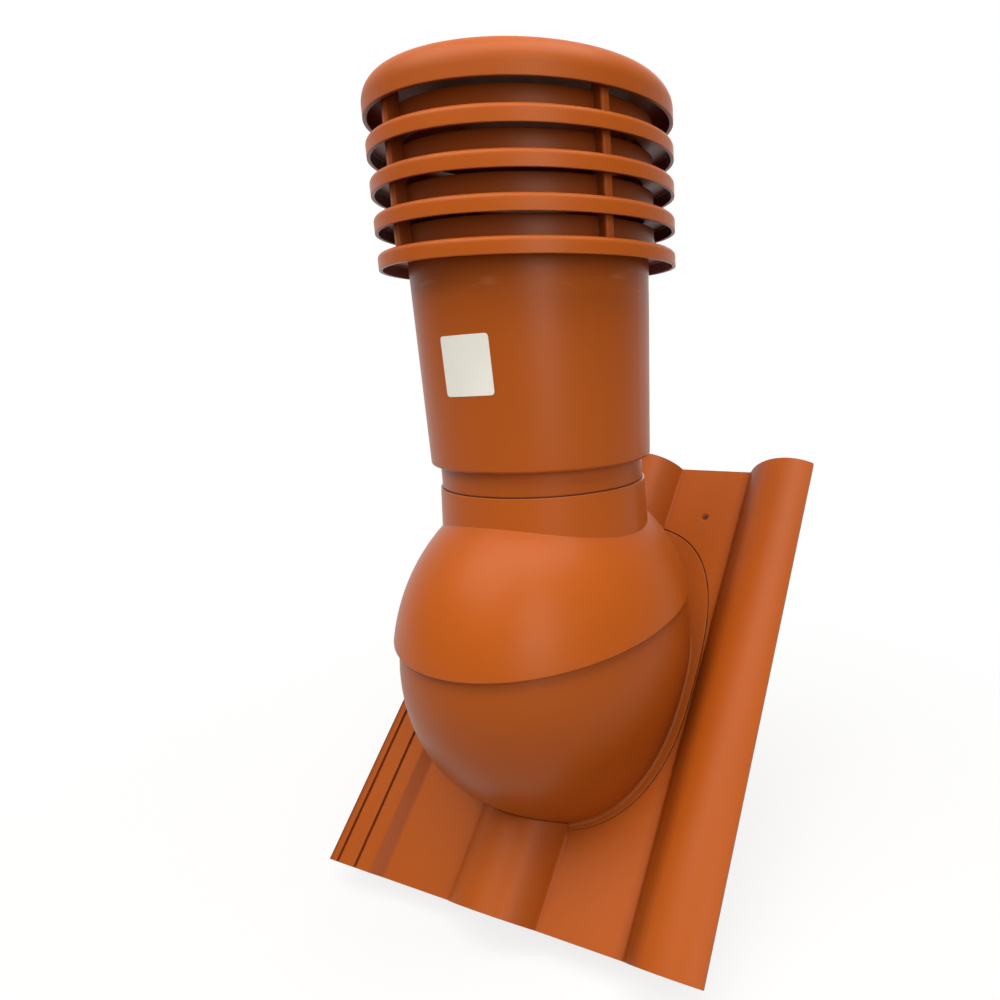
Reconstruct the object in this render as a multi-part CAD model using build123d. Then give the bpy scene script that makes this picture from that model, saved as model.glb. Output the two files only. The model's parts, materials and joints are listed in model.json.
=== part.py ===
from build123d import *
from math import acos, asin, cos, degrees, hypot, pi, radians, sin, sqrt
import os

# Roof tile vent: a plastic double-roman roof tile with a fixed socket dome, a hood that swivels
# on the dome until the pipe stands plumb, an insulated duct pipe and a louvred cap.
# Millimetres. +Z is up along the pipe, +X runs across the roof, +Y points up the slope.
# The origin is the middle of the face of the hanging lip that hooks on the roof batten.

# Two working frames are used and named in each function.
# Roof frame: x across, y up the slope, z out of the roof; zero on the pan under the swivel centre.
# Pipe frame: zero at the swivel centre, z along the pipe.

# Roof and swivel
ROOF_PITCH = 43.0            # pitch of the tile while the pipe stands plumb, degrees
PITCH_MIN = 16.0             # lowest roof pitch that the hood can be set to
PITCH_MAX = 45.0             # steepest roof pitch
SWIVEL_HEIGHT = 59.4         # swivel axis above the flat pan of the tile

# Tile
TILE_LEFT = -163.0
TILE_RIGHT = 167.0
TILE_FOOT = -198.0           # lower edge, measured from the swivel centre
TILE_LENGTH = 420.0
SHEET = 3.0                  # wall of the tile
ROLL_HEIGHT = 25.0
ROLL_HALF_WIDTH = 39.0
ROLL_MIDDLE_X = -4.0
ROLL_SIDE_X = 144.0
ROLL_FOOT_FILLET = 2.5
LOCK_RIGHT = -109.0          # foot of the slope between side lock and pan
LOCK_SLOPE = 10.0            # width of that slope
LOCK_HEIGHT = 6.0
LOCK_EDGE_HEIGHT = 4.2
LOCK_EDGE_WIDTH = 7.0
LOCK_GROOVE_WIDTH = 3.0
LOCK_GROOVE_DEPTH = 3.2
LOCK_GROOVE_X = (-153.0, -134.5)
LIP_DEPTH = 14.0             # hanging lip under the head
LIP_THICK = 4.0
LIP_BACK = 2.0               # lip set in from the head edge
LIP_HALF_LENGTH = 100.0
RIB_DEPTH = 8.0              # stiffening ribs under the sheet
RIB_THICK = 2.5
RIB_COUNT = 2
RIB_PITCH = 26.0
RIB_FROM_FOOT = 12.0
RIB_SHORT = 17.0                # ribs end short of the side roll's open edge
NAIL_X = 72.3
NAIL_FROM_HEAD = 55.0
NAIL_HOLE_R = 2.6
NAIL_DIMPLE_R = 4.0
NAIL_DIMPLE_DEPTH = 0.8
NAIL_BOSS_R = 7.0
NAIL_BOSS_DEPTH = 5.0

# Socket dome: a barrel turned about the swivel axis, with an oval flange let into the tile
DOME_HALF_X = 106.9
DOME_R = 131.5
DOME_WALL = 3.0
DOME_FOOT_IN = 4.5           # foot's reach down the slope, short of the dome's radius
DOME_FOOT_POWER = 2.5        # squareness of the foot's front half
DOME_BEAD_WIDTH = 1.6        # bead along the foot
DOME_BEAD_HEIGHT = 1.0
FLANGE_SIDE = -3.9           # flange beyond the dome's half width
FLANGE_DOWN = 4.0            # flange beyond the foot, down the slope
FLANGE_UP = 20.5             # flange beyond the dome's radius, up the slope
FLANGE_FRONT_POWER = 2.5
FLANGE_BACK_POWER = 2.8
FLANGE_THICK = 2.5
FLANGE_GAP_FRONT = 0.3
FLANGE_GAP_SIDE = 0.8
FLANGE_GAP_BACK = 1.2
ROLL_END_GAP = 0.3           # between the middle roll's end and the dome
GASKET_THICK = 1.0
GASKET_MARGIN = 1.5
LEDGE_THICK = 3.0
SCREW_COUNT = 8
FLANGE_INWARD = 6.0          # reach of flange and ledge inside the dome's wall
STUD_R = 3.2                 # studs moulded under the flange
STUD_HOLE_GAP = 0.4
STUD_INSET = 7.0             # stud centre from the flange's edge
SCREW_R = 1.6
SCREW_GAP = 0.05
SCREW_DEPTH = 5.0
SCREW_HEAD_R = 5.5
SCREW_HEAD_HEIGHT = 2.4

# Swivel hood
SWIVEL_GAP = 1.5             # between dome and hood
HOOD_WALL = 3.0
HOOD_EDGE_HEIGHT = 36.2      # lower edge above the swivel axis, along the edge plane's normal
HOOD_EDGE_TILT = 4.6         # degrees, higher at the back
COLLAR_RISE = 1.1            # collar's rim above the dome's radius
COLLAR_WALL_TOP = 1.4
COLLAR_WALL_FOOT = 3.1
COLLAR_FOOT_DROP = 32.6      # below the rim, inside the hood
LEDGE_DROP = 16.6            # from the rim to the underside of the ledge that carries the pipe
HOOD_LEDGE = 3.0
SLIDE_GAP = 0.3              # pieces that slide past each other
BOSS_IN = 4.1                # boss centre inside the neck's radius, across the roof
BOSS_Y = 24.0
BOSS_R = 6.0
BOSS_DROP = 52.6             # from the collar's rim to the bosses' ends
OPENING_MARGIN = 4.5         # dome opening outside the duct pipe
OPENING_SIDE = 1.0           # and outside the bosses

# Clamp saddle under the dome
SADDLE_WALL = 3.0
SADDLE_BEYOND = 21.0         # saddle's edge beyond the screws, across the roof
CUP_WALL = 2.2               # cups in the saddle that take the hood's bosses
PAD_THICK = 8.0
PAD_GAP = 0.2
CLAMP_R = 3.0
CLAMP_GAP = 0.05
CLAMP_GRIP = 14.0            # length of thread in the boss
CLAMP_HEAD_R = 5.5
CLAMP_HEAD_HEIGHT = 4.0
WASHER_R = 6.5
WASHER_THICK = 1.2

# Seals
HOOD_SEAL_WIDTH = 10.0
HOOD_SEAL_UP = 3.0           # above the hood's lower edge
COLLAR_SEAL_HEIGHT = 3.0
COLLAR_SEAL_DEPTH = 1.5
COLLAR_SEAL_DROP = 6.0       # below the collar's rim

# Duct pipe, insulation and casing
DUCT_R = 62.5                # 125 mm duct
DUCT_WALL = 2.5
DUCT_BELOW = 105.0           # below the swivel axis
DUCT_FLANGE_R = 67.0         # rim that hangs the pipe on the insulation cover
DUCT_FLANGE_THICK = 2.5
FIT_GAP = 0.1
SPIGOT_STEP = 0.5            # spigot slimmer than the pipe, to take a 125 mm duct
SPIGOT_LENGTH = 60.0
INSULATION = 12.6            # from duct to the outside of the casing's neck
CASING_WALL = 2.8
CASING_STEP = 6.3            # casing beyond its neck
CASING_FLARE = 2.8           # casing wider at the top than at the bottom
CASING_EDGE_R = 2.0
NECK_SHOWN = 17.3            # neck that shows between collar and casing
CASING_LENGTH = 133.3        # up to the lowest louvre ring's lower edge
COVER_THICK = 4.0            # ring that covers the insulation

# Louvred cap
RING_COUNT = 4
RING_PITCH = 23.1
RING_OVERHANG = 19.1         # rings reach out past the casing
RING_HEIGHT = 10.3
RING_WALL = 2.2
RING_ROUND = 3.4
UPSTAND_OUT = 4.3            # rain upstand outside the casing
UPSTAND_WALL = 2.5
UPSTAND_RISE = 24.0          # its top edge above the ring's lower edge
POST_COUNT = 4
POST_FIRST = -27.0           # azimuth of the first post, degrees
POST_WIDTH = 6.5
POST_REACH = 8.5             # out of the upstand
POST_ROUND = 2.0
CAP_SCREW_R = 1.6
CAP_SCREW_GRIP = 8.0         # thread in the lid
CAP_HEAD_R = 3.2
CAP_HEAD_HEIGHT = 2.4
LID_STRAIGHT = 7.6           # upright part of the brim
LID_SHOULDER_R = 16.0
LID_HEIGHT = 33.0
LID_WALL = 2.5
LID_BOSS_R = 3.8

# Places that follow from the sizes above
TILE_HEAD = TILE_FOOT + TILE_LENGTH
LIP_FACE = TILE_HEAD - LIP_BACK - LIP_THICK
LIP_MIDDLE = -SHEET - LIP_DEPTH / 2
GASKET_TOP = -FLANGE_THICK
LEDGE_TOP = GASKET_TOP - GASKET_THICK
LEDGE_BOTTOM = LEDGE_TOP - LEDGE_THICK
DOME_FOOT_FRONT = DOME_R - DOME_FOOT_IN
FLANGE_HALF_X = DOME_HALF_X + FLANGE_SIDE
FLANGE_FRONT = DOME_FOOT_FRONT + FLANGE_DOWN
FLANGE_BACK = DOME_R + FLANGE_UP
HOOD_INNER_X = DOME_HALF_X + SWIVEL_GAP
HOOD_INNER_R = DOME_R + SWIVEL_GAP
HOOD_X = HOOD_INNER_X + HOOD_WALL
HOOD_R = HOOD_INNER_R + HOOD_WALL
SADDLE_X = DOME_HALF_X - DOME_WALL - SLIDE_GAP
SADDLE_OUTER = DOME_R - DOME_WALL - SLIDE_GAP
SLEEVE_R = DUCT_R + INSULATION
CASING_R_BOTTOM = SLEEVE_R + CASING_STEP
CASING_R_TOP = CASING_R_BOTTOM + CASING_FLARE
COLLAR_TOP = DOME_R + COLLAR_RISE
COLLAR_R_TOP = SLEEVE_R + COLLAR_WALL_TOP
COLLAR_R_FOOT = SLEEVE_R + COLLAR_WALL_FOOT
COLLAR_FOOT_Z = COLLAR_TOP - COLLAR_FOOT_DROP
LEDGE_Z = COLLAR_TOP - LEDGE_DROP
LEDGE_SEAT = LEDGE_Z + HOOD_LEDGE
BOSS_X = SLEEVE_R - BOSS_IN
BOSS_END_Z = COLLAR_TOP - BOSS_DROP
SADDLE_R = BOSS_X + SADDLE_BEYOND
CASING_BOTTOM = COLLAR_TOP + NECK_SHOWN
RING_FIRST = CASING_BOTTOM + CASING_LENGTH
RING_SEAT = RING_HEIGHT - RING_WALL
CASING_TOP = RING_FIRST + RING_SEAT
COVER_BOTTOM = RING_FIRST + RING_HEIGHT
COVER_TOP = COVER_BOTTOM + COVER_THICK
RING_R = CASING_R_TOP + RING_OVERHANG
RING_LIP_R = CASING_R_TOP - CASING_WALL
UPSTAND_R = CASING_R_TOP + UPSTAND_OUT
POST_HEAD = RING_PITCH + RING_SEAT
POST_AT = UPSTAND_R + POST_REACH / 2
LID_BOTTOM = RING_FIRST + RING_COUNT * RING_PITCH
LID_SEAT = RING_FIRST + (RING_COUNT - 1) * RING_PITCH + POST_HEAD
FAR = 400.0                  # longer than any piece, for cutters


def on_roof(shape):
    # Lays a roof-frame shape on the pitched roof, hanging lip at the origin
    return Rot(ROOF_PITCH, 0, 0) * Pos(0, -LIP_FACE, -LIP_MIDDLE) * shape


def on_pipe(shape):
    # Stands a pipe-frame shape on the swivel centre
    centre = Rot(ROOF_PITCH, 0, 0) * Pos(0, -LIP_FACE, SWIVEL_HEIGHT - LIP_MIDDLE)
    return Pos(*centre.position) * shape


def barrel(half_x, radius):
    # Solid turned about the x axis from half an ellipse
    outline = Ellipse(half_x, radius) & Pos(0, radius, 0) * Rectangle(2 * half_x, 2 * radius)
    return revolve(outline, Axis.X)


def turned(points):
    # Solid turned about the z axis from an outline of (radius, height) points
    return revolve(Plane.XZ * make_face(Polyline(*points, close=True)), Axis.Z)


def tube(outer, inner, low, high):
    # Round tube between two heights
    return turned([(inner, low), (outer, low), (outer, high), (inner, high)])


def oval(half_x, front, back, front_power=2.0, back_power=2.0, steps=7):
    # Face of an oval whose halves down and up the slope differ in reach and squareness
    points = []
    for k in range(4 * steps):
        turn = 2 * pi * k / (4 * steps)
        reach, power = (back, back_power) if sin(turn) >= 0 else (front, front_power)
        across = abs(cos(turn)) ** (2 / power) * (1 if cos(turn) >= 0 else -1)
        along = abs(sin(turn)) ** (2 / power) * (1 if sin(turn) >= 0 else -1)
        points.append((half_x * across, reach * along))
    return make_face(Spline(*points, periodic=True))


def slab(face, low, high):
    # Prism of a face between two heights
    return Pos(0, 0, low) * extrude(face, high - low)


# Roof tile

def tile_region(depth, low=-SHEET - RIB_DEPTH):
    # Cross section, in x and height, of all that lies deeper than depth under the tile's top
    block = Pos((TILE_LEFT + TILE_RIGHT) / 2, (low - depth) / 2) * Rectangle(
        TILE_RIGHT - TILE_LEFT, -depth - low)
    roll_r = (ROLL_HALF_WIDTH ** 2 + ROLL_HEIGHT ** 2) / (2 * ROLL_HEIGHT)
    keep = Pos((TILE_LEFT + TILE_RIGHT) / 2, low + FAR / 2) * Rectangle(TILE_RIGHT - TILE_LEFT, FAR)
    for middle in (ROLL_MIDDLE_X, ROLL_SIDE_X):
        block += Pos(middle, ROLL_HEIGHT - roll_r) * Circle(roll_r - depth) & keep
    edge = TILE_LEFT + LOCK_EDGE_WIDTH
    lock = make_face(Polyline((TILE_LEFT, low), (TILE_LEFT, LOCK_EDGE_HEIGHT - depth),
                              (edge, LOCK_EDGE_HEIGHT - depth), (edge + 1, LOCK_HEIGHT - depth),
                              (LOCK_RIGHT - LOCK_SLOPE, LOCK_HEIGHT - depth),
                              (LOCK_RIGHT, -depth), (LOCK_RIGHT, low), close=True))
    for x in LOCK_GROOVE_X:
        lock -= Pos(x, LOCK_HEIGHT - depth) * Rectangle(LOCK_GROOVE_WIDTH + 2 * depth, 2 * LOCK_GROOVE_DEPTH)
    return block + lock


def tile_profile():
    # Sheet of the tile seen from its lower edge
    top = tile_region(0)
    feet = [v for v in top.vertices()
            if abs(v.Y) < 0.01 and min(abs(abs(v.X - m) - ROLL_HALF_WIDTH)
                                       for m in (ROLL_MIDDLE_X, ROLL_SIDE_X)) < 0.01]
    top = fillet(feet, ROLL_FOOT_FILLET)
    return top - tile_region(SHEET) - below(-SHEET)


def below(height):
    # Half plane under a height of the tile's cross section
    return Pos(0, height - FAR / 2) * Rectangle(2 * FAR, FAR)


def run(section, start, length):
    # Extrudes a cross section up the slope
    return extrude(Plane((0, start, 0), x_dir=(1, 0, 0), z_dir=(0, -1, 0)) * section, -length)


def flange_oval(side=0.0, front=0.0, back=0.0):
    return oval(FLANGE_HALF_X + side, FLANGE_FRONT + front, FLANGE_BACK + back,
                FLANGE_FRONT_POWER, FLANGE_BACK_POWER)


def dome_sizes(height, inset=0.0):
    # Half width and reaches of the dome's outline at a height up to the swivel axis
    drop = (SWIVEL_HEIGHT - height) / SWIVEL_HEIGHT
    round_in = sqrt(1 - ((SWIVEL_HEIGHT - height) / DOME_R) ** 2)
    return (DOME_HALF_X * round_in - inset,
            DOME_R - (DOME_R - DOME_FOOT_FRONT) * drop ** 2 - inset,
            DOME_R * round_in - inset,
            2 + (DOME_FOOT_POWER - 2) * drop ** 2)


def foot_opening():
    # Clear opening through ledge, gasket and flange under the dome
    half_x, front, back, power = dome_sizes(0, DOME_WALL + FLANGE_INWARD)
    return oval(half_x, front, back, power)


def stud_places():
    # Centres of the studs, spaced round the flange
    places = []
    for k in range(SCREW_COUNT):
        turn = 2 * pi * (k + 0.5) / SCREW_COUNT
        reach, power = ((FLANGE_BACK, FLANGE_BACK_POWER) if sin(turn) > 0
                        else (FLANGE_FRONT, FLANGE_FRONT_POWER))
        scale = (abs(cos(turn) / FLANGE_HALF_X) ** power + abs(sin(turn) / reach) ** power) ** (-1 / power)
        places.append(((scale - STUD_INSET) * cos(turn), (scale - STUD_INSET) * sin(turn)))
    return places


def roll_end():
    # Roof frame. End of the middle roll that runs on over the flange as far as the dome.
    roll_r = (ROLL_HALF_WIDTH ** 2 + ROLL_HEIGHT ** 2) / (2 * ROLL_HEIGHT)
    roll = Pos(ROLL_MIDDLE_X, ROLL_HEIGHT - roll_r) * Circle(roll_r) - below(ROLL_END_GAP)
    end = run(roll, -FLANGE_FRONT - SHEET, ROLL_HALF_WIDTH)
    half_x, front, back, power = dome_sizes(0)
    bead = DOME_BEAD_WIDTH + ROLL_END_GAP
    end -= slab(oval(half_x + bead, front + bead, back + bead, power), 0, DOME_BEAD_HEIGHT + ROLL_END_GAP)
    return end - dome_body(-ROLL_END_GAP)


def make_roof_tile():
    # Roof frame. The sheet stops at the dome's flange, where a rebate with a ledge holds it.
    length = TILE_LENGTH
    tile = run(tile_profile(), TILE_FOOT, length)
    wall = flange_oval(FLANGE_GAP_SIDE + SHEET, FLANGE_GAP_FRONT + SHEET, FLANGE_GAP_BACK + SHEET)
    rebate = flange_oval(FLANGE_GAP_SIDE, FLANGE_GAP_FRONT, FLANGE_GAP_BACK)
    tile -= slab(wall, -FAR, FAR)
    under = run(tile_region(0, LEDGE_BOTTOM), TILE_FOOT, length)
    tile += (slab(wall, LEDGE_BOTTOM, 2 * ROLL_HEIGHT) - slab(rebate, LEDGE_TOP, FAR)) & under
    tile -= slab(foot_opening(), -FAR, FAR)
    for x, y in stud_places():
        tile -= Pos(x, y, 0) * Cylinder(STUD_R + STUD_HOLE_GAP, FAR)
    tile += roll_end()
    lip = (tile_region(SHEET, -SHEET - LIP_DEPTH)
           & Pos(0, 0) * Rectangle(2 * LIP_HALF_LENGTH, FAR))
    tile += run(lip, LIP_FACE, LIP_THICK)
    rib = tile_region(SHEET) - Pos(0, -RIB_DEPTH) * tile_region(SHEET, -SHEET - 2 * RIB_DEPTH)
    rib -= Pos(TILE_RIGHT - RIB_SHORT + FAR / 2, 0) * Rectangle(FAR, 2 * FAR)
    for k in range(RIB_COUNT):
        tile += run(rib, TILE_FOOT + RIB_FROM_FOOT + k * RIB_PITCH, RIB_THICK)
    nail_y = TILE_HEAD - NAIL_FROM_HEAD
    tile += Pos(NAIL_X, nail_y, 0) * slab(Circle(NAIL_BOSS_R), -SHEET - NAIL_BOSS_DEPTH, -SHEET / 2)
    tile -= Pos(NAIL_X, nail_y, 0) * Cylinder(NAIL_HOLE_R, FAR)
    tile -= Pos(NAIL_X, nail_y, 0) * slab(Circle(NAIL_DIMPLE_R), -NAIL_DIMPLE_DEPTH, 1)
    return on_roof(tile)


# Socket dome

def dome_body(inset):
    # Roof frame. Barrel above the swivel axis, drawn down to the oval foot below it.
    top = Pos(0, 0, SWIVEL_HEIGHT) * barrel(DOME_HALF_X - inset, DOME_R - inset)
    top = split(top, Plane.XY.offset(SWIVEL_HEIGHT), keep=Keep.TOP)
    sections = []
    for k in range(4):
        height = SWIVEL_HEIGHT * k / 4
        half_x, front, back, power = dome_sizes(height, inset)
        sections.append(Pos(0, 0, height) * oval(half_x, front, back, power))
    sections.append(Pos(0, 0, SWIVEL_HEIGHT) * Ellipse(DOME_HALF_X - inset, DOME_R - inset))
    return top + loft(sections)


def dome_opening():
    # Pipe frame of the tile's normal: space that the duct pipe and the bosses sweep
    side = BOSS_X + BOSS_R + OPENING_SIDE
    boss_y = BOSS_Y + BOSS_R + OPENING_SIDE
    cut = None
    for lean in (PITCH_MIN, PITCH_MAX):
        stroke = Pos(0, 0, FAR / 4) * (Cylinder(DUCT_R + OPENING_MARGIN, FAR / 2)
                                       + Box(2 * side, 2 * boss_y, FAR / 2))
        stroke = Rot(-lean, 0, 0) * stroke
        cut = stroke if cut is None else cut + stroke
    middle = (PITCH_MIN + PITCH_MAX) / 2
    half = (PITCH_MAX - PITCH_MIN) / 2
    wedge = make_face(Polyline((0, 0), (-FAR * sin(radians(half)), FAR), (FAR * sin(radians(half)), FAR),
                               close=True))
    wedge = extrude(Plane((-side, 0, 0), x_dir=(0, 1, 0), z_dir=(1, 0, 0)) * wedge, 2 * side)
    return cut + Rot(-middle, 0, 0) * wedge


def make_socket_dome():
    # Roof frame
    dome = dome_body(0)
    dome += slab(flange_oval(), GASKET_TOP, 0)
    half_x, front, back, power = dome_sizes(0)
    bead = oval(half_x + DOME_BEAD_WIDTH, front + DOME_BEAD_WIDTH, back + DOME_BEAD_WIDTH, power)
    dome += slab(bead, -FLANGE_THICK / 2, DOME_BEAD_HEIGHT)
    for x, y in stud_places():
        dome += Pos(x, y, 0) * slab(Circle(STUD_R), LEDGE_BOTTOM, GASKET_TOP / 2)
    dome -= dome_body(DOME_WALL)
    dome -= slab(foot_opening(), -FAR, SWIVEL_HEIGHT)
    for x, y in stud_places():
        dome -= Pos(x, y, 0) * slab(Circle(SCREW_R + SCREW_GAP), LEDGE_BOTTOM - 1, LEDGE_BOTTOM + SCREW_DEPTH)
    dome -= Pos(0, 0, SWIVEL_HEIGHT) * dome_opening()
    return on_roof(dome)


def make_flange_gasket():
    # Roof frame. Flat seal between flange and ledge.
    gasket = slab(flange_oval(-GASKET_MARGIN, -GASKET_MARGIN, -GASKET_MARGIN), LEDGE_TOP, GASKET_TOP)
    gasket -= slab(foot_opening(), -FAR, FAR)
    for x, y in stud_places():
        gasket -= Pos(x, y, 0) * Cylinder(STUD_R + STUD_HOLE_GAP, FAR)
    return on_roof(gasket)


def make_flange_screws():
    # Roof frame. Self-tapping screws with wide heads, driven from under the tile.
    screws = []
    for x, y in stud_places():
        screw = slab(Circle(SCREW_HEAD_R), LEDGE_BOTTOM - SCREW_HEAD_HEIGHT, LEDGE_BOTTOM)
        screw += slab(Circle(SCREW_R), LEDGE_BOTTOM - SCREW_HEAD_HEIGHT / 2,
                      LEDGE_BOTTOM + SCREW_DEPTH - 2 * SCREW_GAP)
        screws.append(Pos(x, y, 0) * screw)
    return on_roof(Compound(screws))


# Swivel hood and clamp

def hood_edge_plane(rise=0.0):
    # Plane of the hood's lower edge, raised by rise
    tilt = radians(HOOD_EDGE_TILT)
    normal = (0, -sin(tilt), cos(tilt))
    height = HOOD_EDGE_HEIGHT + rise
    return Plane((0, -height * sin(tilt), height * cos(tilt)), x_dir=(1, 0, 0), z_dir=normal)


def boss_places():
    return [(x, y) for x in (-BOSS_X, BOSS_X) for y in (-BOSS_Y, BOSS_Y)]


def make_swivel_hood():
    # Pipe frame
    collar = turned([(0, 0), (COLLAR_R_FOOT, 0), (COLLAR_R_FOOT, COLLAR_FOOT_Z),
                     (COLLAR_R_TOP, COLLAR_TOP), (0, COLLAR_TOP)])
    outer = barrel(HOOD_X, HOOD_R) & Pos(0, 0, COLLAR_TOP - FAR) * Box(FAR, FAR, 2 * FAR)
    outer = split(outer + collar, hood_edge_plane(), keep=Keep.TOP)
    hood = outer - barrel(HOOD_INNER_X, HOOD_INNER_R)
    hood -= Pos(0, 0, FAR / 2) * Cylinder(SLEEVE_R + FIT_GAP, FAR)
    hood += tube(COLLAR_R_TOP - FIT_GAP, DUCT_R + FIT_GAP, LEDGE_Z, LEDGE_SEAT)
    for x, y in boss_places():
        boss = Pos(x, y, 0) * slab(Circle(BOSS_R), BOSS_END_Z, LEDGE_SEAT - HOOD_LEDGE / 2)
        hood += boss & outer
    for x, y in boss_places():
        hood -= Pos(x, y, 0) * slab(Circle(CLAMP_R + CLAMP_GAP), BOSS_END_Z - 1, BOSS_END_Z + CLAMP_GRIP)
    return on_pipe(hood)


def make_clamp_saddle():
    # Pipe frame. Curved plate under the dome that the screws pull up against it.
    shell = barrel(SADDLE_X, SADDLE_OUTER) - barrel(SADDLE_X - SADDLE_WALL, SADDLE_OUTER - SADDLE_WALL)
    saddle = shell & slab(Circle(SADDLE_R), SADDLE_OUTER / 4, FAR)
    pad_top = BOSS_END_Z - PAD_GAP
    for x, y in boss_places():
        cup = Pos(x, y, 0) * slab(Circle(BOSS_R + SLIDE_GAP + CUP_WALL), pad_top - PAD_THICK, FAR)
        saddle += cup & barrel(SADDLE_X, SADDLE_OUTER)
    saddle -= Pos(0, 0, FAR / 2) * Cylinder(DUCT_R + FIT_GAP, FAR)
    for x, y in boss_places():
        spot = Pos(x, y, 0)
        saddle -= spot * slab(Circle(CLAMP_R + CLAMP_GAP), 0, FAR)
        saddle -= spot * slab(Circle(BOSS_R + SLIDE_GAP), pad_top, FAR)
    return on_pipe(saddle)


def make_clamp_washers():
    # Pipe frame
    top = BOSS_END_Z - PAD_GAP - PAD_THICK
    washers = [Pos(x, y, 0) * tube(WASHER_R, CLAMP_R + CLAMP_GAP, top - WASHER_THICK, top)
               for x, y in boss_places()]
    return on_pipe(Compound(washers))


def make_clamp_screws():
    # Pipe frame. Hexagon screws from below, through saddle and into the hood's bosses.
    under = BOSS_END_Z - PAD_GAP - PAD_THICK - WASHER_THICK
    screws = []
    for x, y in boss_places():
        screw = slab(RegularPolygon(CLAMP_HEAD_R, 6), under - CLAMP_HEAD_HEIGHT, under)
        screw += slab(Circle(CLAMP_R), under - CLAMP_HEAD_HEIGHT / 2, BOSS_END_Z + CLAMP_GRIP - CLAMP_R)
        screws.append(Pos(x, y, 0) * screw)
    return on_pipe(Compound(screws))


def make_hood_seal():
    # Pipe frame. Felt strip inside the hood's skirt that wipes over the dome.
    shell = (barrel(HOOD_INNER_X, HOOD_INNER_R)
             - barrel(DOME_HALF_X + SLIDE_GAP, DOME_R + SLIDE_GAP))
    shell = split(shell, hood_edge_plane(HOOD_SEAL_UP), keep=Keep.TOP)
    shell = split(shell, hood_edge_plane(HOOD_SEAL_UP + HOOD_SEAL_WIDTH), keep=Keep.BOTTOM)
    return on_pipe(shell)


def collar_seal_band():
    top = COLLAR_TOP - COLLAR_SEAL_DROP
    return top - COLLAR_SEAL_HEIGHT, top


def make_collar_seal():
    # Pipe frame. Rubber ring in the sleeve's groove.
    low, high = collar_seal_band()
    return on_pipe(tube(SLEEVE_R + FIT_GAP / 2, SLEEVE_R - COLLAR_SEAL_DEPTH, low, high))


# Pipe, insulation and casing

def casing_line(offset, top):
    # Casing outline moved inwards by offset, from its bottom edge upwards
    return [(CASING_R_BOTTOM - offset, CASING_BOTTOM), (CASING_R_TOP - offset, RING_FIRST),
            (CASING_R_TOP - offset, top)]


def make_outer_casing():
    # Pipe frame. Tapered casing with a neck that plugs into the hood's collar.
    inner = casing_line(CASING_WALL, CASING_TOP)
    inner[0] = (inner[0][0], CASING_BOTTOM + CASING_WALL)
    neck = SLEEVE_R - CASING_WALL
    casing = turned([(neck, LEDGE_SEAT), (SLEEVE_R, LEDGE_SEAT), (SLEEVE_R, CASING_BOTTOM)]
                    + casing_line(0, CASING_TOP) + inner[::-1] + [(neck, CASING_BOTTOM + CASING_WALL)])
    rim = [e for e in casing.edges().filter_by(GeomType.CIRCLE)
           if abs(e.center().Z - CASING_BOTTOM) < 0.01 and abs(e.radius - CASING_R_BOTTOM) < 0.01]
    casing = fillet(rim, CASING_EDGE_R)
    low, high = collar_seal_band()
    casing -= tube(SLEEVE_R + 1, SLEEVE_R - COLLAR_SEAL_DEPTH, low, high)
    return on_pipe(casing)


def make_insulation_shell():
    # Pipe frame. Foam between duct pipe and casing.
    bore = DUCT_R + FIT_GAP
    neck = SLEEVE_R - CASING_WALL - FIT_GAP
    step = CASING_BOTTOM + CASING_WALL + FIT_GAP
    line = casing_line(CASING_WALL + FIT_GAP, COVER_BOTTOM)
    line[0] = (line[0][0], step)
    shell = turned([(bore, LEDGE_SEAT), (neck, LEDGE_SEAT), (neck, step)] + line + [(bore, COVER_BOTTOM)])
    return on_pipe(shell)


def make_duct_pipe():
    # Pipe frame. Smooth air pipe with a slimmer spigot, hanging by its rim from the cover.
    pipe = tube(DUCT_R, DUCT_R - DUCT_WALL, -DUCT_BELOW, COVER_TOP + DUCT_FLANGE_THICK)
    pipe += tube(DUCT_FLANGE_R, DUCT_R - DUCT_WALL / 2, COVER_TOP, COVER_TOP + DUCT_FLANGE_THICK)
    pipe -= tube(DUCT_FLANGE_R, DUCT_R - SPIGOT_STEP, -DUCT_BELOW, SPIGOT_LENGTH - DUCT_BELOW)
    return on_pipe(pipe)


def make_insulation_cover():
    # Pipe frame. Ring that closes the insulation and holds the lowest louvre ring on the casing.
    cover = tube(UPSTAND_R - UPSTAND_WALL - FIT_GAP, DUCT_R + FIT_GAP, COVER_BOTTOM, COVER_TOP)
    return on_pipe(cover)


# Louvred cap

def post_spots():
    return [Rot(0, 0, POST_FIRST + 360 / POST_COUNT * k) for k in range(POST_COUNT)]


def ring_outline():
    # Section of a louvre ring: hanging band, flange, rain upstand and the lip that it sits on
    wall = UPSTAND_R - UPSTAND_WALL
    band = make_face(Polyline(
        (RING_R - RING_WALL, 0), (RING_R, 0), (RING_R, RING_HEIGHT), (UPSTAND_R, RING_HEIGHT),
        (UPSTAND_R, UPSTAND_RISE), (wall, UPSTAND_RISE), (wall, RING_HEIGHT), (RING_LIP_R, RING_HEIGHT),
        (RING_LIP_R, RING_SEAT), (RING_R - RING_WALL, RING_SEAT), close=True))
    corner = [v for v in band.vertices() if abs(v.X - RING_R) < 0.01 and abs(v.Y - RING_HEIGHT) < 0.01]
    return fillet(corner, RING_ROUND)


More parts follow.
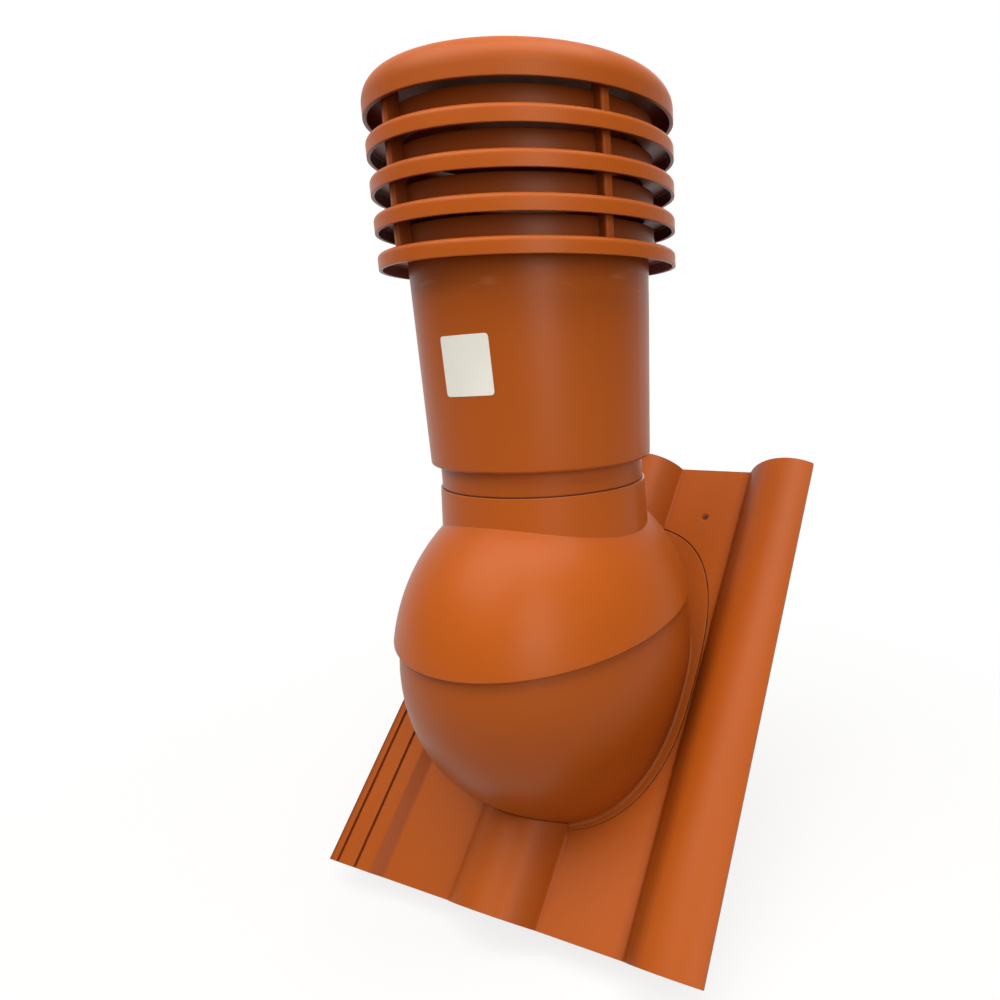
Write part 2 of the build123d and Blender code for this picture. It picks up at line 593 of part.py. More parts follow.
def make_louvre_ring(k):
    # Pipe frame. Ring with the four posts that carry the next ring, and their screw holes.
    ring = revolve(Plane.XZ * ring_outline(), Axis.Z)
    depth = POST_REACH + UPSTAND_WALL / 2
    bar = Rectangle(depth, POST_WIDTH)
    bar = fillet(bar.vertices().group_by(Axis.X)[-1], POST_ROUND)
    post = Pos(UPSTAND_R + POST_REACH - depth / 2, 0, 0) * slab(bar, RING_HEIGHT - RING_WALL / 2, POST_HEAD)
    hole = Pos(POST_AT, 0, 0) * slab(Circle(CAP_SCREW_R + SCREW_GAP), 0, POST_HEAD + 1)
    for spot in post_spots():
        ring += spot * post
    for spot in post_spots():
        ring -= spot * hole
    return on_pipe(Pos(0, 0, RING_FIRST + k * RING_PITCH) * ring)


def make_cap_screws():
    # Pipe frame. Four long screws from below through all the posts into the lid.
    head = RING_FIRST + RING_SEAT
    screw = Pos(POST_AT, 0, 0) * (slab(Circle(CAP_HEAD_R), head - CAP_HEAD_HEIGHT, head)
                                  + slab(Circle(CAP_SCREW_R), head - CAP_HEAD_HEIGHT / 2,
                                         LID_SEAT + CAP_SCREW_GRIP))
    return on_pipe(Compound([spot * screw for spot in post_spots()]))


def lid_outline(inset):
    # Half section of the lid: upright brim, round shoulder and a flat crown that meets it smoothly
    shoulder = LID_SHOULDER_R - inset
    centre_r = RING_R - LID_SHOULDER_R
    centre_z = LID_BOTTOM + LID_STRAIGHT
    apex = LID_BOTTOM + LID_HEIGHT - inset
    rise = LID_HEIGHT - LID_STRAIGHT
    crown = (centre_r ** 2 + rise ** 2 - LID_SHOULDER_R ** 2) / (2 * (rise - LID_SHOULDER_R)) - inset
    crown_z = apex - crown
    lean = acos((centre_z - crown_z) / (crown - shoulder))
    join = (crown * sin(lean), crown_z + crown * cos(lean))
    mid_crown = (crown * sin(lean / 2), crown_z + crown * cos(lean / 2))
    turn = (lean + pi / 2) / 2
    mid_shoulder = (centre_r + shoulder * sin(turn), centre_z + shoulder * cos(turn))
    brim = RING_R - inset
    lines = (Polyline((0, apex), (0, LID_BOTTOM), (brim, LID_BOTTOM), (brim, centre_z))
             + ThreePointArc((brim, centre_z), mid_shoulder, join)
             + ThreePointArc(join, mid_crown, (0, apex)))
    return make_face(lines)


def make_cap_lid():
    # Pipe frame. Thin domed lid with four bosses that sit on the posts.
    solid = revolve(Plane.XZ * lid_outline(0), Axis.Z)
    lid = solid - revolve(Plane.XZ * lid_outline(LID_WALL), Axis.Z)
    for spot in post_spots():
        boss = Pos(POST_AT, 0, 0) * slab(Circle(LID_BOSS_R), LID_SEAT, LID_BOTTOM + LID_HEIGHT)
        lid += spot * boss & solid
    for spot in post_spots():
        lid -= spot * Pos(POST_AT, 0, 0) * slab(Circle(CAP_SCREW_R + SCREW_GAP), LID_SEAT - 1,
                                                LID_SEAT + CAP_SCREW_GRIP + SCREW_GAP)
    return on_pipe(lid)


PIECES = {
    "roof_tile": make_roof_tile,
    "socket_dome": make_socket_dome,
    "flange_gasket": make_flange_gasket,
    "flange_screws": make_flange_screws,
    "swivel_hood": make_swivel_hood,
    "clamp_saddle": make_clamp_saddle,
    "clamp_washers": make_clamp_washers,
    "clamp_screws": make_clamp_screws,
    "hood_seal": make_hood_seal,
    "collar_seal": make_collar_seal,
    "outer_casing": make_outer_casing,
    "insulation_shell": make_insulation_shell,
    "duct_pipe": make_duct_pipe,
    "insulation_cover": make_insulation_cover,
    "cap_screws": make_cap_screws,
    "cap_lid": make_cap_lid,
}

os.makedirs("parts", exist_ok=True)
for name, make in PIECES.items():
    export_step(make(), "parts/" + name + ".step")
for number in range(RING_COUNT):
    export_step(make_louvre_ring(number), "parts/louvre_ring_" + str(number + 1) + ".step")
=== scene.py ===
import json
import math
import bmesh
import bpy
from mathutils import Matrix, Vector


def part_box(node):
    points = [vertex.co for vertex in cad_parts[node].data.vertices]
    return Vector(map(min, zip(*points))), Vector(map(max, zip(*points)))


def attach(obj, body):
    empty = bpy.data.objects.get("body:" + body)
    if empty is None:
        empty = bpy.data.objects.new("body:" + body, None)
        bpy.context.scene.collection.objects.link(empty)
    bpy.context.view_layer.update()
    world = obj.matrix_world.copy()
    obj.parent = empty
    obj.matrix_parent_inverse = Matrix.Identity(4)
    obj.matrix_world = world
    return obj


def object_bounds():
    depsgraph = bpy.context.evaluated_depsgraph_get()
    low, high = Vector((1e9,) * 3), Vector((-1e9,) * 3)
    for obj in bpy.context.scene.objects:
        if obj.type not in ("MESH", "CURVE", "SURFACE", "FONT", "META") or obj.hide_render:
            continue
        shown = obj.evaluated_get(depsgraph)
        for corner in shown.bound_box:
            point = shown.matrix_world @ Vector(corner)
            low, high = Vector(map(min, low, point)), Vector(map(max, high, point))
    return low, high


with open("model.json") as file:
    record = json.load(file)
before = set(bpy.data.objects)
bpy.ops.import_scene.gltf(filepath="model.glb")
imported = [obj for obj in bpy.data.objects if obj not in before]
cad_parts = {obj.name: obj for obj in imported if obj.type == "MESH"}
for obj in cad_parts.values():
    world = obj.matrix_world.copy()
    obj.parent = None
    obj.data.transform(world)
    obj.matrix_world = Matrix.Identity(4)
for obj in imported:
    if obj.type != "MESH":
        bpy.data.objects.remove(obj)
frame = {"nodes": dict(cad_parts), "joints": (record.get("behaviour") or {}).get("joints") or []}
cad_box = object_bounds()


# Roof tile
# A double-roman tile, injection moulded in one terracotta-coloured plastic with its lock, ribs and
# hanging lip. It hangs on the batten by the lip and is screwed down through the dimpled hole.

MM = 0.001                                  # one millimetre, in the frame's metres
TERRACOTTA = (0.475, 0.098, 0.0080)
EDGE_HIGHLIGHT_TERRACOTTA = (0.72, 0.250, 0.080)      # painted highlight along the rounded edges
SHADE_TERRACOTTA = (0.10, 0.014, 0.002)     # painted shade, in creases and along the tile's flanks


def new_group(name, inputs, outputs):
    # Empty shader node group with sockets from (label, kind, value) and (label, kind) rows
    group = bpy.data.node_groups.new(name, "ShaderNodeTree")
    for label, kind, value in inputs:
        socket = group.interface.new_socket(label, in_out="INPUT", socket_type="NodeSocket" + kind)
        socket.default_value = value
    for label, kind in outputs:
        group.interface.new_socket(label, in_out="OUTPUT", socket_type="NodeSocket" + kind)
    return group, group.nodes.new("NodeGroupInput"), group.nodes.new("NodeGroupOutput")


def noise(tree, scale, detail, stretch=(1, 1, 1)):
    # Noise over the object's own coordinates, which are metres of the frame
    place = tree.nodes.new("ShaderNodeTexCoord")
    mapping = tree.nodes.new("ShaderNodeMapping")
    mapping.inputs["Scale"].default_value = stretch
    texture = tree.nodes.new("ShaderNodeTexNoise")
    texture.inputs["Scale"].default_value = scale
    texture.inputs["Detail"].default_value = detail
    tree.links.new(place.outputs["Object"], mapping.inputs["Vector"])
    tree.links.new(mapping.outputs["Vector"], texture.inputs["Vector"])
    return texture.outputs["Fac"]


def remap(tree, value, low, high, to_low, to_high):
    # Linear remap of a value, clamped to its new range
    node = tree.nodes.new("ShaderNodeMapRange")
    node.inputs["From Min"].default_value = low
    node.inputs["From Max"].default_value = high
    node.inputs["To Min"].default_value = to_low
    node.inputs["To Max"].default_value = to_high
    tree.links.new(value, node.inputs["Value"])
    return node.outputs["Result"]


def calculate(tree, operation, first, second):
    # One operation on two sockets or numbers
    node = tree.nodes.new("ShaderNodeMath")
    node.operation = operation
    for socket, value in zip(node.inputs, (first, second)):
        if isinstance(value, (int, float)):
            socket.default_value = value
        else:
            tree.links.new(value, socket)
    return node.outputs["Value"]


def blend_colours(tree, factor, first, second):
    # Mix of two colours, each a socket or a tuple
    node = tree.nodes.new("ShaderNodeMix")
    node.data_type = "RGBA"
    tree.links.new(factor, node.inputs["Factor"])
    for socket, value in ((node.inputs[6], first), (node.inputs[7], second)):
        if isinstance(value, tuple):
            socket.default_value = (*value, 1)
        else:
            tree.links.new(value, socket)
    return node.outputs[2]


def new_material(name, specular=0.5):
    # Material with its node tree and its shader's inputs
    material = bpy.data.materials.new(name)
    material.use_nodes = True
    shader = material.node_tree.nodes["Principled BSDF"].inputs
    shader["Specular IOR Level"].default_value = specular
    return material, material.node_tree, shader


def place_group(tree, group, values):
    # A group placed in a material with its own values
    node = tree.nodes.new("ShaderNodeGroup")
    node.node_tree = group
    for label, value in values.items():
        node.inputs[label].default_value = value
    return node.outputs


def add_relief(tree, shader, height, strength, depth, under=None):
    # Fine relief on the shader's normal, over another normal where one is given
    bump = tree.nodes.new("ShaderNodeBump")
    bump.inputs["Strength"].default_value = strength
    bump.inputs["Distance"].default_value = depth
    tree.links.new(height, bump.inputs["Height"])
    if under is not None:
        tree.links.new(under, bump.inputs["Normal"])
    tree.links.new(bump.outputs["Normal"], shader["Normal"])


# Moulded plastic: a slow drift of tone and gloss, and a fine spark-eroded grain. Each noise has
# its scale per metre and its detail, and the melt's streaks are drawn out upwards as well.
CLOUD = (11.0, 3.0)
STREAK = (26.0, 2.0, (1, 1, 0.25))
GRAIN = (1300.0, 2.0)
NOISE_MIDDLE = 0.5
STREAK_SHARE = 0.5
TONE_GAIN = 2.0
moulded_plastic, given, result = new_group(
    "moulded_plastic",
    [("Colour", "Color", (*TERRACOTTA, 1)), ("Roughness", "Float", 0.4),
     ("Tone drift", "Float", 0.05), ("Gloss drift", "Float", 0.10)],
    [("Colour", "Color"), ("Roughness", "Float"), ("Height", "Float")])
tree = moulded_plastic
cloud = calculate(tree, "SUBTRACT", noise(tree, *CLOUD), NOISE_MIDDLE)
streak = calculate(tree, "SUBTRACT", noise(tree, *STREAK), NOISE_MIDDLE)
drift = calculate(tree, "ADD", cloud, calculate(tree, "MULTIPLY", streak, STREAK_SHARE))
tone = calculate(tree, "MULTIPLY", drift, given.outputs["Tone drift"])
tint = tree.nodes.new("ShaderNodeHueSaturation")
tree.links.new(given.outputs["Colour"], tint.inputs["Color"])
tree.links.new(calculate(tree, "ADD", calculate(tree, "MULTIPLY", tone, TONE_GAIN), 1.0),
               tint.inputs["Value"])
tree.links.new(tint.outputs["Color"], result.inputs["Colour"])
gloss = calculate(tree, "MULTIPLY", drift, given.outputs["Gloss drift"])
tree.links.new(calculate(tree, "ADD", gloss, given.outputs["Roughness"]),
               result.inputs["Roughness"])
tree.links.new(noise(tree, *GRAIN), result.inputs["Height"])

# Rounded edge: where the rounded normal leaves the face's own, the colour is lightened as a
# painted highlight, and handling has polished the grain
SLIGHTLY_ROUNDED, FULLY_ROUNDED = 0.99, 0.80     # how far the two normals still agree
rounded_edge_highlight, given, result = new_group(
    "rounded_edge_highlight", [("Width", "Float", 1.0 * MM)], [("Mask", "Float"), ("Normal", "Vector")])
tree = rounded_edge_highlight
rounding = tree.nodes.new("ShaderNodeBevel")
rounding.samples = 4
tree.links.new(given.outputs["Width"], rounding.inputs["Radius"])
surface = tree.nodes.new("ShaderNodeNewGeometry")
agree = tree.nodes.new("ShaderNodeVectorMath")
agree.operation = "DOT_PRODUCT"
tree.links.new(rounding.outputs["Normal"], agree.inputs[0])
tree.links.new(surface.outputs["Normal"], agree.inputs[1])
tree.links.new(remap(tree, agree.outputs["Value"], SLIGHTLY_ROUNDED, FULLY_ROUNDED, 0.0, 1.0),
               result.inputs["Mask"])
tree.links.new(rounding.outputs["Normal"], result.inputs["Normal"])

# Crease shade: painted shade, from ambient occlusion, that darkens the colour where surfaces stand
# close together
CLOSED_IN, WIDE_OPEN = 0.10, 0.85             # shares of the sky that such a place sees
crease_shade, given, result = new_group(
    "crease_shade", [("Reach", "Float", 20.0 * MM)], [("Mask", "Float")])
tree = crease_shade
shelter = tree.nodes.new("ShaderNodeAmbientOcclusion")
shelter.samples = 4
tree.links.new(given.outputs["Reach"], shelter.inputs["Distance"])
tree.links.new(remap(tree, shelter.outputs["AO"], CLOSED_IN, WIDE_OPEN, 1.0, 0.0),
               result.inputs["Mask"])

PLASTIC_SPECULAR = 0.22
EDGE_WIDTH = 1.1 * MM
EDGE_POLISH = 0.15               # roughness that a fully worn edge loses
GRAIN_STRENGTH, GRAIN_DEPTH = 0.10, 0.1 * MM


def terracotta(name, roughness=0.40, shade=1.0, highlight_and_polish_share=0.5, crease_shade_share=0.45, crease_shade_reach=22.0 * MM):
    # Terracotta plastic of one piece, its tone a little lighter or darker than the next one's
    material, tree, shader = new_material(name, PLASTIC_SPECULAR)
    colour = (*(part * shade for part in TERRACOTTA), 1)
    moulded = place_group(tree, moulded_plastic, {"Colour": colour, "Roughness": roughness})
    edge = place_group(tree, rounded_edge_highlight, {"Width": EDGE_WIDTH})
    crease = place_group(tree, crease_shade, {"Reach": crease_shade_reach})
    # Painted highlight: the edge mask lightens the colour, and it also lowers the roughness as
    # polish
    highlight_and_polish = calculate(tree, "MULTIPLY", edge["Mask"], highlight_and_polish_share)
    edge_highlit = blend_colours(tree, highlight_and_polish, moulded["Colour"], EDGE_HIGHLIGHT_TERRACOTTA)
    # Painted shade: the crease mask darkens the colour where surfaces stand close together
    crease_darkening = calculate(tree, "MULTIPLY", crease["Mask"], crease_shade_share)
    tree.links.new(blend_colours(tree, crease_darkening, edge_highlit, SHADE_TERRACOTTA), shader["Base Color"])
    polish = calculate(tree, "MULTIPLY", highlight_and_polish, EDGE_POLISH)
    tree.links.new(calculate(tree, "SUBTRACT", moulded["Roughness"], polish), shader["Roughness"])
    add_relief(tree, shader, moulded["Height"], GRAIN_STRENGTH, GRAIN_DEPTH, edge["Normal"])
    return material


def dress(node_name, material):
    # Give a CAD node its material
    slots = frame["nodes"][node_name].data.materials
    slots.clear()
    slots.append(material)


def place_along(tree, axis):
    # The object's own coordinate along one axis
    place = tree.nodes.new("ShaderNodeTexCoord")
    split = tree.nodes.new("ShaderNodeSeparateXYZ")
    tree.links.new(place.outputs["Object"], split.inputs["Vector"])
    return split.outputs[axis]


def band(tree, value, low, high, soft):
    # Mask that is 1 between two values and falls to 0 over a soft edge outside them
    return calculate(tree, "MULTIPLY", remap(tree, value, low - soft, low, 0.0, 1.0),
                     remap(tree, value, high, high + soft, 1.0, 0.0))


def lay_over(material, mask, colour):
    # Lay one more colour over a material's own, where the mask lets it through
    tree = material.node_tree
    base = tree.nodes["Principled BSDF"].inputs["Base Color"]
    own = base.links[0].from_socket
    tree.links.new(blend_colours(tree, mask, own, colour), base)


# Painted shade runs down the flanks of lock and rolls, where less light falls, a little patchily.
# Each run has its left and right side and its soft edge in millimetres across the tile, and its
# strength.
SHADE_RUNS = ((-164.0, -162.0, 3.0, 0.50), (-118.0, -110.0, 3.0, 0.38),
             (22.0, 33.0, 7.0, 0.25), (106.0, 116.0, 9.0, 0.40))
PATCHES = (30.0, 3.0, (1, 0.3, 0.3))
PALEST_PATCH = 0.7
tile_plastic = terracotta("tile_plastic", 0.43, 0.96)
tree = tile_plastic.node_tree
across = place_along(tree, "X")
painted_shade = 0.0
for left, right, soft, strength in SHADE_RUNS:
    run = band(tree, across, left * MM, right * MM, soft * MM)
    painted_shade = calculate(tree, "MAXIMUM", painted_shade, calculate(tree, "MULTIPLY", run, strength))
patchy = remap(tree, noise(tree, *PATCHES), 0.3, 0.7, PALEST_PATCH, 1.0)
# Lay the painted shade over the tile's own colour
lay_over(tile_plastic, calculate(tree, "MULTIPLY", painted_shade, patchy), SHADE_TERRACOTTA)
dress("roof_tile", tile_plastic)


# Flange gasket
# A flat strip of black cellular rubber, punched to the flange's oval and glued under it.
# It fills the joint between the dome's flange and the tile's ledge.

SOFT_SPECULAR = 0.25
SOFT_SPREAD = 0.08               # roughness above and below the mean, from cell to cell


def soft_material(name, dark, light, roughness, cell, depth, strength):
    # Rubber, felt or foam: cells or fibres of a given size that change tone and relief
    material, tree, shader = new_material(name, SOFT_SPECULAR)
    cells = noise(tree, 1.0 / cell, 4.0)
    tree.links.new(blend_colours(tree, remap(tree, cells, 0.3, 0.7, 0.0, 1.0), dark, light),
                   shader["Base Color"])
    tree.links.new(remap(tree, cells, 0.2, 0.8, roughness - SOFT_SPREAD, roughness + SOFT_SPREAD),
                   shader["Roughness"])
    add_relief(tree, shader, cells, strength, depth)
    return material


dress("flange_gasket", soft_material("cellular_rubber", (0.010, 0.010, 0.010),
                                     (0.030, 0.030, 0.030), 0.80, 0.9 * MM, 0.2 * MM, 0.5))


# Socket dome
# The dome and its oval flange, moulded in one and let flush into the tile. The middle roll runs
# on over its flange. Its outside is the bearing face that the hood turns on.

# The dome's colour is set darker than the hood's, as painted shade for its underside
dress("socket_dome", terracotta("dome_plastic", 0.40, 0.89, 0.9))


# Flange screws
# Eight self-tapping screws of stainless steel, driven from below through the ledge into the
# studs under the flange.

TOOL_MARKS = (900.0, 3.0, (1, 1, 0.15))
DULL_STEEL = (0.50, 0.49, 0.47)
MARK_ROUGHNESS = 0.15            # roughness that the tool's marks add
MARK_STRENGTH, MARK_DEPTH = 0.15, 0.05 * MM
turned_steel, given, result = new_group(
    "turned_steel", [("Colour", "Color", (0.6, 0.6, 0.6, 1)), ("Roughness", "Float", 0.3)],
    [("Colour", "Color"), ("Roughness", "Float"), ("Height", "Float")])
tree = turned_steel
marks = noise(tree, *TOOL_MARKS)
tree.links.new(blend_colours(tree, marks, DULL_STEEL, given.outputs["Colour"]),
               result.inputs["Colour"])
tree.links.new(calculate(tree, "ADD", given.outputs["Roughness"],
                         calculate(tree, "MULTIPLY", marks, MARK_ROUGHNESS)),
               result.inputs["Roughness"])
tree.links.new(marks, result.inputs["Height"])


def steel(name, colour, roughness):
    # Stainless steel as it comes off the lathe or out of the press
    material, tree, shader = new_material(name)
    shader["Metallic"].default_value = 1.0
    metal = place_group(tree, turned_steel, {"Colour": (*colour, 1), "Roughness": roughness})
    tree.links.new(metal["Colour"], shader["Base Color"])
    tree.links.new(metal["Roughness"], shader["Roughness"])
    add_relief(tree, shader, metal["Height"], MARK_STRENGTH, MARK_DEPTH)
    return material


dress("flange_screws", steel("flange_screw_steel", (0.66, 0.65, 0.62), 0.28))


# Swivel hood
# The hood that rides on the dome like a cap on a knuckle, with the collar for the outer pipe.
# Moulded in one piece of the same plastic.

dress("swivel_hood", terracotta("hood_plastic", 0.38, 1.03, 0.9))


# Hood seal
# A strip of black felt glued inside the hood's skirt. It keeps driven rain and insects out of
# the gap that the hood turns in.

dress("hood_seal", soft_material("seal_felt", (0.012, 0.012, 0.013), (0.050, 0.050, 0.052), 0.92,
                                 0.6 * MM, 0.4 * MM, 0.8))


# Clamp saddle
# The curved plate inside the dome that the screws draw up, so that the hood holds its tilt.
# A tougher glass-filled plastic, matt and much browner.

dress("clamp_saddle", terracotta("saddle_plastic", 0.58, 0.55))


# Clamp washers and screws
# Four stainless hexagon screws with plain washers, driven from below through the saddle into
# the hood's bosses.

dress("clamp_washers", steel("washer_steel", (0.62, 0.61, 0.60), 0.34))
dress("clamp_screws", steel("clamp_screw_steel", (0.66, 0.65, 0.63), 0.26))


# Collar seal
# A moulded ring of black rubber in a groove of the collar. The casing's neck squeezes it, which
# holds the casing and keeps the rain out.

dress("collar_seal", soft_material("seal_rubber", (0.012, 0.012, 0.012), (0.022, 0.022, 0.022),
                                   0.55, 1.5 * MM, 0.05 * MM, 0.3))


# Duct pipe
# The smooth inner air pipe, 125 mm wide, of dark grey plastic. It is drawn from a tube and hangs
# by its rim in the cover on top of the insulation.

DUCT_GREY = (0.050, 0.052, 0.056)
DRAW_LINES = (700.0, 2.0, (1, 1, 0.02))
duct_plastic, tree, shader = new_material("duct_plastic", 0.4)
drawn = place_group(tree, moulded_plastic, {"Colour": (*DUCT_GREY, 1), "Roughness": 0.42})
tree.links.new(drawn["Colour"], shader["Base Color"])
tree.links.new(drawn["Roughness"], shader["Roughness"])
add_relief(tree, shader, noise(tree, *DRAW_LINES), 0.12, 0.1 * MM)
dress("duct_pipe", duct_plastic)


# Insulation shell
# A sleeve of pale closed-cell foam that fills the room between duct pipe and casing. It keeps
# the moist air in the duct from condensing.

dress("insulation_shell", soft_material("closed_cell_foam", (0.52, 0.52, 0.49),
                                        (0.68, 0.68, 0.65), 0.88, 1.6 * MM, 0.3 * MM, 0.6))


# Outer casing
# The slightly tapered outer pipe. Its neck plugs into the hood's collar and a step rests above
# it. Faint flow marks from the moulding ring it, and a painted shadow line darkens the joint at
# its foot.

FLOW_LOW, FLOW_HIGH = 160.0 * MM, 186.0 * MM     # heights between which the flow marks lie
FLOW_MIDDLE = (FLOW_LOW + FLOW_HIGH) / 2
FLOW_NOISE = (38.0, 1.0, (1, 1, 5))
FLOW_STRENGTH = 0.40
FLOW_TERRACOTTA = (0.62, 0.22, 0.08)
COLLAR_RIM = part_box("swivel_hood")[1].z
JOINT_FROM, JOINT_TO = COLLAR_RIM + 0.6 * MM, COLLAR_RIM + 1.4 * MM     # where its painted shadow thins out
JOINT_STRENGTH = 0.85
JOINT_SHADOW = (0.05, 0.008, 0.002)
casing_plastic = terracotta("casing_plastic", 0.36, 0.95)
tree = casing_plastic.node_tree
height = place_along(tree, "Z")
rise = remap(tree, height, FLOW_LOW, FLOW_MIDDLE, 0.0, 1.0)
fall = remap(tree, height, FLOW_MIDDLE, FLOW_HIGH, 1.0, 0.0)
smudge = remap(tree, noise(tree, *FLOW_NOISE), 0.60, 0.74, 0.0, FLOW_STRENGTH)
flow = calculate(tree, "MULTIPLY", calculate(tree, "MULTIPLY", rise, fall), smudge)
lay_over(casing_plastic, flow, FLOW_TERRACOTTA)
# Painted shadow line in the joint just above the collar's rim
lay_over(casing_plastic, remap(tree, height, JOINT_FROM, JOINT_TO, JOINT_STRENGTH, 0.0),
         JOINT_SHADOW)
dress("outer_casing", casing_plastic)


# Bare label
# A white vinyl label with rounded corners, stuck on the casing by hand and a little askew.
# It is left blank.

LABEL_WIDTH = 38.0 * MM
LABEL_HEIGHT = 38.5 * MM
LABEL_CORNER = 2.4 * MM
LABEL_THICK = 0.22 * MM
LABEL_GAP = 0.03 * MM
LABEL_AZIMUTH = math.radians(-90.9)
LABEL_MIDDLE_Z = 220.0 * MM                # over the swivel
LABEL_TURN = math.radians(2.0)
LABEL_STEPS = 24                           # facets across its width, so that it bends
CORNER_STEPS = 6
SHARP_ANGLE = math.radians(30)
CASING_LOW = (149.9 * MM, 81.4 * MM)       # height over the swivel and radius, at the foot
CASING_HIGH = (283.2 * MM, 84.2 * MM)      # and under the lowest ring
CLEAN_VINYL, DUSTY_VINYL = (0.95, 0.96, 0.92), (0.91, 0.91, 0.86)

swivel = Vector(frame["joints"][0]["pos_m"])


def casing_radius(height):
    # Radius of the casing's outside at a height over the swivel
    (low, narrow), (high, wide) = CASING_LOW, CASING_HIGH
    return narrow + (wide - narrow) * (height - low) / (high - low)


def rounded_outline(width, height, corner, steps):
    # Points round a rectangle with rounded corners
    points = []
    for turn, (side, up) in enumerate(((1, 1), (-1, 1), (-1, -1), (1, -1))):
        for step in range(steps + 1):
            angle = math.radians(90 * turn + 90 * step / steps)
            points.append(Vector((side * (width / 2 - corner) + corner * math.cos(angle),
                                  up * (height / 2 - corner) + corner * math.sin(angle))))
    return points


label_mesh = bmesh.new()
outline = rounded_outline(LABEL_WIDTH, LABEL_HEIGHT, LABEL_CORNER, CORNER_STEPS)
label_mesh.faces.new([label_mesh.verts.new((point.x, point.y, 0)) for point in outline])
for step in range(1, LABEL_STEPS):
    cut = -LABEL_WIDTH / 2 + LABEL_WIDTH * step / LABEL_STEPS
    everything = label_mesh.verts[:] + label_mesh.edges[:] + label_mesh.faces[:]
    bmesh.ops.bisect_plane(label_mesh, geom=everything, plane_co=(cut, 0, 0), plane_no=(1, 0, 0))
film = bmesh.ops.extrude_face_region(label_mesh, geom=label_mesh.faces[:])
for vertex in (item for item in film["geom"] if isinstance(item, bmesh.types.BMVert)):
    vertex.co.z = LABEL_THICK
for vertex in label_mesh.verts:
    turned = Matrix.Rotation(LABEL_TURN, 2) @ vertex.co.xy
    height = LABEL_MIDDLE_Z + turned.y
    radius = casing_radius(height) + LABEL_GAP + vertex.co.z
    azimuth = LABEL_AZIMUTH + turned.x / casing_radius(LABEL_MIDDLE_Z)
    vertex.co = swivel + Vector((radius * math.cos(azimuth), radius * math.sin(azimuth), height))
bmesh.ops.recalc_face_normals(label_mesh, faces=label_mesh.faces)
label_data = bpy.data.meshes.new("bare_label")
label_mesh.to_mesh(label_data)
label_mesh.free()
label = bpy.data.objects.new("bare_label", label_data)
bpy.context.scene.collection.objects.link(label)
label_data.shade_smooth()
label_data.set_sharp_from_angle(angle=SHARP_ANGLE)

vinyl, tree, shader = new_material("white_vinyl", 0.45)
fibre = noise(tree, 420.0, 4.0)
dust = noise(tree, 45.0, 3.0)
tree.links.new(blend_colours(tree, remap(tree, dust, 0.35, 0.75, 0.0, 1.0),
                             CLEAN_VINYL, DUSTY_VINYL), shader["Base Color"])
tree.links.new(remap(tree, fibre, 0.3, 0.7, 0.30, 0.42), shader["Roughness"])
add_relief(tree, shader, fibre, 0.15, 0.05 * MM)
label_data.materials.append(vinyl)
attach(label, "pipe_piece")


# Insulation cover
# A flat ring, moulded in the same plastic, that closes the foam at the top and carries the duct
# pipe by its rim.

dress("insulation_cover", terracotta("cover_plastic", 0.42, 0.90))


# Louvre rings
# Four equal rings, each moulded with a lip, a rain upstand and posts under the next one. The air
# leaves between them and the rain stays out. Painted shade darkens them deep inside.

RING_FINISHES = ((0.38, 0.98), (0.40, 1.0), (0.37, 0.99), (0.39, 1.01))     # roughness and shade
CAP_REACH = 30.0 * MM
# Each ring is given strong painted shade in its creases
for number, (roughness, shade) in enumerate(RING_FINISHES, start=1):
    dress("louvre_ring_%d" % number, terracotta("louvre_plastic_%d" % number, roughness, shade,
                                                0.5, 0.85, CAP_REACH))


# Cap lid and its screws
# The shallow domed lid, moulded with an upright brim, closes the cap. Four long stainless screws
# through the rings' posts hold the stack.

# The lid is given strong painted shade in its creases too
dress("cap_lid", terracotta("lid_plastic", 0.42, 0.92, 0.5, 0.95, CAP_REACH))
dress("cap_screws", steel("cap_screw_steel", (0.64, 0.63, 0.61), 0.30))


# Camera
# At the place from which the photograph was taken, in front and to the right of the pipe and
# about as high as its collar. The shift gives the photograph's framing.

CAMERA_AT = Vector((0.29478, -0.67093, 0.13207))
CAMERA_RIGHT = Vector((0.91216, 0.40883, -0.02872))
CAMERA_UP = Vector((-0.07165, 0.22808, 0.97100))
CAMERA_FORWARD = Vector((-0.40352, 0.88365, -0.23733))
LENS, FILM_WIDTH = 25.99, 36.0
SHIFT_X, SHIFT_Y = -0.1432, 0.0231
camera = bpy.data.objects.new("camera", bpy.data.cameras.new("camera"))
bpy.context.scene.collection.objects.link(camera)
turn = Matrix((CAMERA_RIGHT, CAMERA_UP, -CAMERA_FORWARD)).transposed()
camera.matrix_world = Matrix.Translation(CAMERA_AT) @ turn.to_4x4()
camera.data.lens = LENS
camera.data.sensor_width = FILM_WIDTH
camera.data.shift_x = SHIFT_X
camera.data.shift_y = SHIFT_Y
bpy.context.scene.camera = camera


# Studio floor
# A sheet of white paper under the piece, which hangs a little above it by the tile's lip. It keeps
# the soft shadow near the piece and runs out to plain white.

